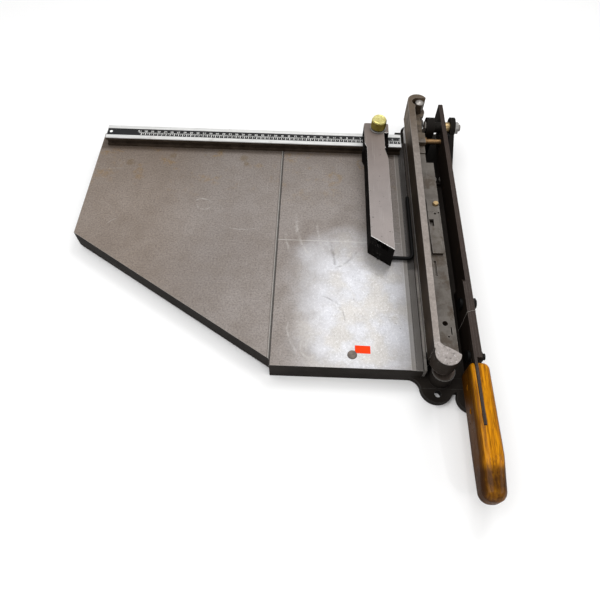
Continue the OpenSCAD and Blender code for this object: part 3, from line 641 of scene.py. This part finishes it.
def handle_wood():
    """Varnished oak: long grain, pores, a darker worn end, painted shade on the underside and sides, and a
    glossy coat.
    """
    m = Shader("handle_wood")
    streak = m.noise(330, 5, 0.7, stretch=(1, 0.06, 1))
    pores = m.between(m.noise(700, 3, 0.7, stretch=(1, 0.09, 1), shift=(2, 0, 0)), 0.58, 0.68)
    fleck = m.between(m.noise(420, 4, 0.75, stretch=(1, 0.2, 1), shift=(6, 2, 0)), 0.58, 0.7)
    grain = m.between(growth_rings(m), 0.1, 0.9, 0.35, 0.75)
    colour = m.mix(grain, (0.36, 0.117, 0.0015), (0.68, 0.275, 0.004))
    colour = m.mix(m.between(streak, 0.45, 0.62, 0, 0.7), colour, (0.13, 0.04, 0.002))
    colour = m.mix(m.mul(fleck, 0.4), colour, (0.5, 0.25, 0.03))
    colour = m.mix(m.mul(pores, 0.6), colour, (0.05, 0.016, 0.003))
    # the handled end has gone dark; the underside and the sides are painted darker as shade
    end = m.between(m.axis("Y"), grip_low.y + DARK_END + 13 * MM, grip_low.y + DARK_END)
    dark = m.mul(end, m.between(m.noise(45, 5, 0.6), 0.3, 0.62, 0.65, 1.0))
    colour = m.mix(m.mul(dark, 0.95), colour, (0.03, 0.009, 0.0008))
    # painted shade on the underside
    low = m.between(m.axis("Z"), grip_low.z + 22 * MM, grip_low.z + 8 * MM)
    colour = m.mix(m.mul(low, 0.8), colour, (0.035, 0.012, 0.003))
    # painted shade on the sides
    outside = m.between(m.math("ABSOLUTE", m.facing("X")), 0.45, 0.95)
    colour = m.mix(m.mul(outside, 0.92), colour, (0.032, 0.01, 0.0008))
    blot = m.between(m.noise(60, 5, 0.7, shift=(4, 4, 4)), 0.6, 0.7, 0, 0.5)
    colour = m.mix(blot, colour, (0.1, 0.035, 0.01))
    height = m.minus(m.mul(streak, 0.35), m.mul(pores, 0.5))
    dents = m.noise(90, 2, 0.5)
    normal = m.bump(m.plus(height, m.mul(dents, 0.8)), 0.3 * MM, 0.5)
    rough = m.between(m.noise(70, 4, 0.6, shift=(7, 7, 7)), 0.3, 0.7, 0.26, 0.45)
    # the varnish is thickest where the top turns down at the end
    varnish = m.between(m.facing("Z"), 0.1, 0.7, 0.0, 0.14)
    turned = m.between(m.facing("Y"), -0.12, -0.3)
    varnish = m.plus(varnish, m.mul(m.mul(turned, varnish), 1.2))
    return m.set(base=colour, rough=rough, normal=normal, specular=0.02, coat=varnish, coat_rough=0.06)


LINES_ALONG_X, LINES_ALONG_Y = (0.04, 1, 1), (1, 0.04, 1)
BRUSHED_DEPTH = 0.05 * MM


def lines_and_cloud(m, along, cloud_scale=55):
    """Fine brushed lines along one axis, and broad clouds of dirt."""
    return m.noise(900, 3, 0.6, stretch=along), m.noise(cloud_scale, 5, 0.65, shift=(2, 5, 8))


def brushed(name, colour, rough, dirt=0.35, tarnish=None):
    """Ground or brushed metal with lines along the tool and some dirt."""
    m = Shader(name)
    line, cloud = lines_and_cloud(m, LINES_ALONG_Y)
    shade = m.mix(m.between(line, 0.3, 0.7), times(colour, 0.85), times(colour, 1.12))
    shade = m.mix(m.between(cloud, 0.45, 0.72, 0, dirt), shade, tarnish or times(colour, 0.35))
    shade = m.mix(m.mul(m.edges(0.6 * MM), 0.5), shade, times(colour, 1.35))
    roughness = m.between(cloud, 0.3, 0.7, rough - 0.06, rough + 0.12)
    return m.set(base=shade, rough=roughness, metal=0.9, normal=m.bump(line, BRUSHED_DEPTH, 0.6))


def rule_finish():
    """Pale brushed aluminium on top; the front face and the faces below the top are painted dark brown as
    shade.
    """
    m = Shader("rule_aluminium")
    line, cloud = lines_and_cloud(m, LINES_ALONG_X, 60)
    colour = m.mix(m.between(line, 0.3, 0.7), (0.6, 0.6, 0.59), (0.78, 0.78, 0.77))
    colour = m.mix(m.between(cloud, 0.55, 0.75, 0, 0.4), colour, (0.34, 0.32, 0.29))
    z = m.axis("Z")
    upper = m.between(z, rule_high.z - 2 * MM, rule_high.z - 1.2 * MM)
    top = m.mul(m.between(m.facing("Z"), 0.5, 0.9), upper)
    # painted shade: a dark brown for the front face and the faces below the top
    painted_shade = m.mix(m.between(m.noise(80, 4, 0.6), 0.3, 0.7), (0.028, 0.019, 0.013), (0.05, 0.036, 0.026))
    front = m.between(m.facing("Y"), -0.3, -0.75)
    under = m.between(z, rule_high.z - MM, rule_high.z - 1.8 * MM)
    shade_below_top = m.mul(m.minus(1.0, top), under)
    colour = m.mix(m.larger(shade_below_top, m.mul(front, under)), colour, painted_shade)
    dull = m.larger(shade_below_top, front)
    return m.set(base=colour, rough=m.between(cloud, 0.3, 0.7, 0.42, 0.58),
                 metal=m.between(dull, 0, 1, 0.35, 0.0), specular=m.between(dull, 0, 1, 0.5, 0.1),
                 normal=m.bump(line, BRUSHED_DEPTH, 0.5))


def ledger_finish():
    """Ground steel, nearly black in its rear half."""
    m = Shader("ledger_steel")
    line, cloud = lines_and_cloud(m, LINES_ALONG_Y)
    colour = m.mix(m.between(line, 0.3, 0.7), (0.16, 0.145, 0.13), (0.24, 0.225, 0.21))
    colour = m.mix(m.between(cloud, 0.45, 0.7, 0, 0.6), colour, (0.06, 0.05, 0.042))
    black_from_y = fence_y - BLACK_FROM
    rear = m.between(m.axis("Y"), black_from_y - 4 * MM, black_from_y + 6 * MM)
    # nearly black behind a line across the blade
    colour = m.mix(m.mul(rear, 0.9), colour, (0.03, 0.023, 0.018))
    return m.set(base=colour, rough=m.between(cloud, 0.3, 0.7, 0.42, 0.55),
                 metal=m.between(rear, 0, 1, 0.6, 0.1), specular=0.2,
                 normal=m.bump(line, BRUSHED_DEPTH, 0.5))


def post_steel():
    """A steel post with its dome painted bright as a highlight, over dark brown sides that are partly its own
    brown and partly painted shade.
    """
    m = Shader("post_steel")
    cloud = m.noise(90, 5, 0.65)
    side = m.mix(m.between(cloud, 0.3, 0.7), (0.03, 0.019, 0.011), (0.07, 0.05, 0.034))
    # painted highlight on the dome, fading into the painted shade of the sides
    dome = m.between(m.facing("Z"), 0.25, 0.85)
    colour = m.mix(dome, side, (0.33, 0.31, 0.29))
    return m.set(base=colour, rough=m.between(cloud, 0.3, 0.7, 0.32, 0.45),
                 metal=m.between(dome, 0, 1, 0.1, 0.6), specular=0.2,
                 normal=m.bump(m.noise(700, 3, 0.6), 0.04 * MM, 0.5))


def knob_brass():
    """Yellow brass, darker round the knurled side."""
    m = Shader("knob_brass")
    cloud = m.noise(160, 4, 0.6)
    colour = m.mix(m.between(cloud, 0.35, 0.7), (0.84, 0.74, 0.26), (0.9, 0.84, 0.38))
    worn = m.edges(0.4 * MM, 0.01, 0.2)
    colour = m.mix(m.mul(worn, 0.5), colour, (0.98, 0.95, 0.6))
    side = m.between(m.facing("Z"), 0.6, 0.2)
    colour = m.tint(side, colour, (0.42, 0.38, 0.2))
    return m.set(base=colour, rough=m.between(cloud, 0.3, 0.7, 0.24, 0.4), metal=0.85,
                 normal=m.bump(m.noise(900, 2, 0.5), 0.04 * MM, 0.5))


def plain(name, colour, rough, grain=500, depth=0.1 * MM, share=0.2, metal=0.0, specular=0.4):
    """An even surface with slight colour variation and a fine grain."""
    m = Shader(name)
    cloud = m.noise(40, 4, 0.6)
    shade = m.mix(m.between(cloud, 0.3, 0.7), times(colour, 1 - share), times(colour, 1 + share))
    roughness = m.between(cloud, 0.3, 0.7, rough - 0.05, rough + 0.08)
    return m.set(base=shade, rough=roughness, metal=metal, specular=specular,
                 normal=m.bump(m.noise(grain, 3, 0.6), depth, 0.6))


# ---- Pieces made from the CAD solids ----

def link(name, mesh, body, material, replaces=()):
    """A piece that rides on a body, with one material. It may stand for CAD nodes."""
    piece = bpy.data.objects.new(name, mesh)
    bpy.context.scene.collection.objects.link(piece)
    mesh.materials.clear()
    mesh.materials.append(material)
    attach(piece, body)
    if replaces:
        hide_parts(*replaces)
    return piece


def body_and_slot(node):
    """The body and the material slot that the record gives a CAD node."""
    record = frame["record"]
    body = next(b for b, nodes in record["behaviour"]["bodies"].items() if node in nodes)
    slot = next(s["material_slot"] for s in record["subparts"] if s["node"] == node)
    return body, slot


def welded(node):
    """The CAD solid's mesh with its flat faces whole again, ready to bevel."""
    bm = bmesh.new()
    bm.from_mesh(frame["nodes"][node].data)
    bmesh.ops.remove_doubles(bm, verts=bm.verts, dist=1e-6)
    bmesh.ops.dissolve_limit(bm, angle_limit=math.radians(0.6), verts=bm.verts, edges=bm.edges)
    return bm


BEVEL_ANGLE = math.radians(32)              # only sharper edges than this are rounded


def finished(node, material, width, segments=2):
    """Stands for a CAD node: the same solid with rounded edges."""
    bm = welded(node)
    mesh = bpy.data.meshes.new(node + "_finished")
    bm.to_mesh(mesh)
    bm.free()
    for name in ("custom_normal", "sharp_edge", "sharp_face"):
        if name in mesh.attributes:
            mesh.attributes.remove(mesh.attributes[name])
    mesh.polygons.foreach_set("use_smooth", [True] * len(mesh.polygons))
    body, slot = body_and_slot(node)
    piece = link(node + "_finished", mesh, body, material, (node,))
    bevel = piece.modifiers.new("round edges", "BEVEL")
    bevel.width, bevel.segments = width, segments
    bevel.limit_method, bevel.angle_limit = "ANGLE", BEVEL_ANGLE
    bevel.use_clamp_overlap = True
    bevel.harden_normals = True
    bevel.miter_outer = "MITER_ARC"
    return piece


def repaint(node, material):
    """Keeps a CAD node and gives it its finish."""
    data = frame["nodes"][node].data
    data.materials.clear()
    data.materials.append(material)


# ---- Details that the CAD solids leave plain ----

def new_piece(name, bm, body, material, replaces=(), smooth_angle=30):
    """A piece from a finished bmesh, smooth except at edges sharper than smooth_angle degrees."""
    mesh = bpy.data.meshes.new(name)
    bmesh.ops.recalc_face_normals(bm, faces=bm.faces)
    for edge in bm.edges:
        flat = len(edge.link_faces) == 2 and edge.calc_face_angle(0) < math.radians(smooth_angle)
        edge.smooth = flat
    for face in bm.faces:
        face.smooth = True
    bm.to_mesh(mesh)
    bm.free()
    return link(name, mesh, body, material, replaces)


def join_rings(bm, rings):
    """Fills the bands between neighbouring rings of points."""
    for lower, upper in zip(rings, rings[1:]):
        for i in range(len(lower)):
            j = (i + 1) % len(lower)
            bm.faces.new((lower[i], lower[j], upper[j], upper[i]))


def bar(bm, x0, x1, y0, y1, z0, z1):
    """Adds a thin box between two corners."""
    place = Matrix.Translation(((x0 + x1) / 2, (y0 + y1) / 2, (z0 + z1) / 2))
    size = Matrix.Diagonal((x1 - x0, y1 - y0, z1 - z0, 1))
    bmesh.ops.create_cube(bm, size=1, matrix=place @ size)


SEGMENTS = {"0": "abcdef", "1": "bc", "2": "abged", "3": "abgcd", "4": "fgbc", "5": "afgcd",
            "6": "afgedc", "7": "abc", "8": "abcdefg", "9": "gfabcd"}
MARK_LIFT = 0.04 * MM                       # the marks' thickness on the strip
STROKE = 0.55 * MM
DIGIT_GAP = 0.6 * MM


def number(bm, value, x, y, height):
    """Adds plain stroke numerals centred on x, standing on y."""
    width, stroke = height * 0.55, STROKE
    text = str(value)
    step = width + DIGIT_GAP
    left = x - (step * len(text) - DIGIT_GAP) / 2
    z0, z1 = strip_high.z, strip_high.z + MARK_LIFT
    for i, digit in enumerate(text):
        x0, x1, mid, top = left + i * step, left + i * step + width, y + height / 2, y + height
        parts = {"a": (x0, x1, top - stroke, top), "d": (x0, x1, y, y + stroke),
                 "g": (x0, x1, mid - stroke / 2, mid + stroke / 2),
                 "f": (x0, x0 + stroke, mid, top), "e": (x0, x0 + stroke, y, mid),
                 "b": (x1 - stroke, x1, mid, top), "c": (x1 - stroke, x1, y, mid)}
        for key in SEGMENTS[digit]:
            bar(bm, *parts[key], z0, z1)


CM_MARKS, INCH_MARKS = 41, 16
FIRST_MM, FIRST_EIGHTH = 8, 3               # the first millimetre and eighth of an inch that are marked
INCH = 25.4 * MM
TICK_HALF = 0.2 * MM                        # half a fine tick's thickness
DOT_RADIUS, DOT_FROM_END = 2.3 * MM, 5.5 * MM
# Heights across the strip, as shares of its width, from its near edge
INCH_ROW = (0.05, 0.3)
MM_ROW = (0.36, 0.47)
CM_DIGITS = (0.53, 0.77)


def graduations():
    """Centimetres along the strip's upper half and inches along its near edge, from the blade leftwards."""
    bm = bmesh.new()
    z0, z1 = strip_high.z, strip_high.z + MARK_LIFT
    start, near, width = ledger_low.x, strip_low.y, strip_high.y - strip_low.y
    for k in range(FIRST_MM, CM_MARKS * 10 + 1):
        x = start - k * MM
        top = MM_ROW[1] if k % 5 else MM_ROW[1] + 0.03
        bar(bm, x - TICK_HALF, x + TICK_HALF, near + MM_ROW[0] * width, near + top * width, z0, z1)
    for k in range(FIRST_EIGHTH, INCH_MARKS * 8 + 1):
        x = start - k * INCH / 8
        half = 0.5 * MM if k % 8 == 0 else 0.42 * MM if k % 2 == 0 else TICK_HALF
        low = INCH_ROW[0] if k % 2 == 0 else INCH_ROW[0] + 0.1
        bar(bm, x - half, x + half, near + low * width, near + MM_ROW[0] * width, z0, z1)
    tall = (CM_DIGITS[1] - CM_DIGITS[0]) * width
    for k in range(1, CM_MARKS + 1):
        number(bm, k, start - k * 10 * MM, near + CM_DIGITS[0] * width, tall)
    dot = Matrix.Translation((strip_low.x + DOT_FROM_END, near + width / 2, z0))
    bmesh.ops.create_cone(bm, cap_ends=True, segments=32, radius1=DOT_RADIUS, radius2=DOT_RADIUS,
                          depth=2 * MARK_LIFT, matrix=dot)
    new_piece("graduations", bm, "base", white_mark)


KNOB_RADIUS = 11 * MM                       # the radius that the knob's section is drawn for
TEETH, POINTS_PER_TOOTH, KNURL_DEPTH = 30, 4, 1.0 * MM


def knurled_knob():
    """A brass knob with straight knurling, a chamfered rim and a shallow dish on top."""
    middle = (knob_low + knob_high) / 2
    top = (knob_high.z - knob_low.z) / MM
    scale = (knob_high.x - knob_low.x) / 2 / KNOB_RADIUS
    # height up the knob and radius in mm, and how deep the knurl is there
    section = ((0, 7.6, 0), (1.6, 7.8, 0), (2.2, 10.2, 0), (2.9, 10.9, 0.6), (3.4, 11, 1),
               (top - 3.2, 11, 1), (top - 2.5, 10.9, 0.6), (top - 1.9, 10.4, 0), (top - 0.5, 9.8, 0),
               (top, 9.2, 0), (top - 0.05, 8.4, 0), (top - 0.5, 7.8, 0), (top - 0.6, 3.6, 0),
               (top - 0.6, 0.5, 0))
    count = TEETH * POINTS_PER_TOOTH
    bm = bmesh.new()
    rings = []
    for z, r, knurl in section:
        ring = []
        for i in range(count):
            angle = 2 * math.pi * i / count
            cut = (0, 0.5, 1, 0.5)[i % POINTS_PER_TOOTH] * KNURL_DEPTH * knurl
            out = r * MM * scale - cut
            ring.append(bm.verts.new((middle.x + out * math.cos(angle), middle.y + out * math.sin(angle),
                                      knob_low.z + z * MM)))
        rings.append(ring)
    join_rings(bm, rings)
    bm.faces.new(list(reversed(rings[0])))
    bm.faces.new(rings[-1])
    new_piece("knurled_knob", bm, "knob", brass, ("clamp_knob",), 22)


def knob_washer():
    """A flat washer on the stop. Its hole clears the foot of the knob."""
    middle = (knob_low + knob_high) / 2
    # radius and height of each corner of its section, in mm
    section = ((8.1, 0.05), (12, 0.05), (12, 0.8), (11.6, 1.15), (8.4, 1.15), (8.1, 0.9))
    count = 64
    bm = bmesh.new()
    rings = []
    for r, z in section:
        turns = [2 * math.pi * i / count for i in range(count)]
        rings.append([bm.verts.new((middle.x + r * MM * math.cos(t), middle.y + r * MM * math.sin(t),
                                    stop_high.z + z * MM)) for t in turns])
    join_rings(bm, rings + rings[:1])
    new_piece("knob_washer", bm, "stop", worn_steel)


def price_label():
    """A plain orange-red paper label near the table screw, one corner lifting."""
    screw_high = corners("table_screw")[1]
    x0, y0 = screw_high.x - 2.6 * MM, screw_high.y - 3.5 * MM
    wide, tall = 19 * MM, 10.5 * MM
    columns, rows = 20, 10
    bm = bmesh.new()
    grid = []
    for j in range(rows + 1):
        line = []
        for i in range(columns + 1):
            u, v = i / columns, j / rows
            lift = 0.5 * MM * max(0, u + v - 1.75) ** 1.3 + 0.05 * MM
            line.append(bm.verts.new((x0 + u * wide, y0 + v * tall - u * 0.4 * MM, table_z + lift)))
        grid.append(line)
    for j in range(rows):
        for i in range(columns):
            bm.faces.new((grid[j][i], grid[j][i + 1], grid[j + 1][i + 1], grid[j + 1][i]))
    piece = new_piece("paper_label", bm, "base", label_paper)
    piece.modifiers.new("thickness", "SOLIDIFY").thickness = 0.1 * MM


def wire_loop(name, points, radius, body, material):
    """A round wire through points, joined end to end."""
    curve = bpy.data.curves.new(name, "CURVE")
    curve.dimensions = "3D"
    curve.bevel_depth, curve.bevel_resolution = radius, 3
    spline = curve.splines.new("POLY")
    spline.points.add(len(points) - 1)
    for point, target in zip(spline.points, points):
        point.co = (*target, 1)
    spline.use_cyclic_u = True
    curve.materials.append(material)
    piece = bpy.data.objects.new(name, curve)
    bpy.context.scene.collection.objects.link(piece)
    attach(piece, body)


THREAD_PLACE = 58 * MM                      # behind the front end of the lever's outer bar
THREAD_RADIUS = 0.22 * MM
THREAD_SLACK = 0.5 * MM


def tie_thread():
    """A thin thread looped round the lever bars in front of the first bolt."""
    low = Vector((tang_low.x, 0, outer_low.z)) - Vector((THREAD_SLACK, 0, THREAD_SLACK))
    high = Vector((outer_high.x, 0, outer_high.z)) + Vector((THREAD_SLACK, 0, THREAD_SLACK))
    middle, half = (low + high) / 2, (high - low) / 2
    y = outer_low.y + THREAD_PLACE
    points = []
    for k in range(64):
        angle = 2 * math.pi * k / 64
        across, up = math.cos(angle), math.sin(angle)
        reach = max(abs(across), abs(up))
        points.append((middle.x + across / reach * half.x, y + 3 * MM * math.sin(angle + 0.6),
                       middle.z + up / reach * half.z))
    wire_loop("tie_thread", points, THREAD_RADIUS, "lever", thread)


# ---- The scene ----

make_camera()
make_studio()
make_floor()

bed_paint = table_top("bed_top", True)
wing_paint = table_top("wing_top", False)
dark_paint = worn_metal("dark_casting", (0.008, 0.0062, 0.005), (0.14, 0.12, 0.1), rough=0.55,
                        edge_share=0.3, specular=0.08)
# the stop's sides are painted near black, partly as shade, and its front edge has a painted highlight
stop_paint = worn_metal("stop_paint", (0.285, 0.25, 0.238), (0.5, 0.48, 0.46), rough=0.42,
                        blotch_share=0.2, edge_share=0.75, grain_depth=0.1 * MM,
                        side=(0.005, 0.0042, 0.0038), side_level=stop_high.z - 4 * MM, front_glint=True,
                        fade=(stop_low.y + 0.06, stop_high.y))
carrier_paint = carrier_metal()
# the lever's sides are painted darker, partly as shade
lever_paint = worn_metal("lever_steel", (0.034, 0.022, 0.017), (0.17, 0.14, 0.125), rough=0.45, metal=0.1,
                         edge=0.8 * MM, edge_share=0.75, rust=0.4, side=(0.014, 0.0098, 0.0075), specular=0.2)
rule_metal = rule_finish()
black_strip = plain("scale_black", (0.003, 0.003, 0.0035), 0.5)
white_mark = plain("scale_white", (0.82, 0.82, 0.8), 0.5)
tool_steel = brushed("tool_steel", (0.36, 0.345, 0.33), 0.38)
dull_steel = brushed("fastener_steel", (0.2, 0.185, 0.17), 0.5, dirt=0.7)
worn_steel = brushed("worn_steel", (0.3, 0.29, 0.28), 0.45, dirt=0.5)
screw_face = plain("screw_face", (0.16, 0.13, 0.11), 0.5, grain=350, depth=0.6 * MM, share=0.6, metal=0.4)
bronze = brushed("bearing_bronze", (0.25, 0.15, 0.07), 0.42, dirt=0.6, tarnish=(0.06, 0.035, 0.02))
ring_metal = brushed("ring_metal", (0.12, 0.095, 0.08), 0.42, dirt=0.5)
ledger_steel = ledger_finish()
post_paint = post_steel()
pale_brass = brushed("pale_brass", (0.42, 0.3, 0.15), 0.38, dirt=0.5, tarnish=(0.15, 0.09, 0.045))
brass = knob_brass()
wood = handle_wood()
rubber = plain("rubber", (0.015, 0.015, 0.015), 0.7)
black_rod = plain("finger_rod_black", (0.003, 0.003, 0.003), 0.5, specular=0.12)
label_paper = plain("label_paper", (0.8, 0.05, 0.008), 0.7, grain=300, depth=0.03 * MM, share=0.06,
                    specular=0.05)
thread = plain("thread", (0.22, 0.2, 0.18), 0.5)

for name, paint in (("bed_casting", bed_paint), ("wing_table", wing_paint), ("bench_feet", bed_paint)):
    finished(name, paint, 0.9 * MM, 3)
finished("stop_bar", stop_paint, 1.1 * MM, 3)
finished("rule_bar", rule_metal, 0.4 * MM)
finished("blade_carrier", carrier_paint, 1.3 * MM, 3)
finished("pivot_bracket", dark_paint, 1.0 * MM, 3)
for name in ("lever_inner_bar", "lever_outer_bar", "tang_plate"):
    finished(name, lever_paint, 0.5 * MM)
finished("hold_down_bracket", carrier_paint, 0.5 * MM)
for name, metal in (("pivot_nut", worn_steel), ("lever_nuts", dark_paint), ("pivot_bolt", dull_steel)):
    finished(name, metal, 0.5 * MM)
for name, metal in (
        ("wing_bolts", dull_steel), ("rule_screws", dull_steel), ("table_screw", screw_face),
        ("ledger_blade", ledger_steel), ("ledger_screws", dull_steel), ("guide_bush_front", ring_metal),
        ("guide_bush_rear", ring_metal), ("bracket_bolts", dull_steel), ("pivot_spacer_left", dark_paint),
        ("pivot_spacer_right", pale_brass), ("foot_pads", rubber), ("clamp_pad", bronze),
        ("finger_rod", black_rod), ("finger_screw", dull_steel), ("clamp_stud", dull_steel),
        ("upper_blade", tool_steel), ("blade_screws", dull_steel), ("guide_post_front", post_paint),
        ("guide_post_rear", post_paint), ("drive_pin", bronze), ("pin_collar", bronze),
        ("hold_down_screw", pale_brass), ("lever_bolts", black_rod), ("lever_rivet", dull_steel),
        ("handle_rivets", wood), ("scale_strip", black_strip), ("handle_grip", wood)):
    repaint(name, metal)
graduations()
knurled_knob()
knob_washer()
price_label()
tie_thread()
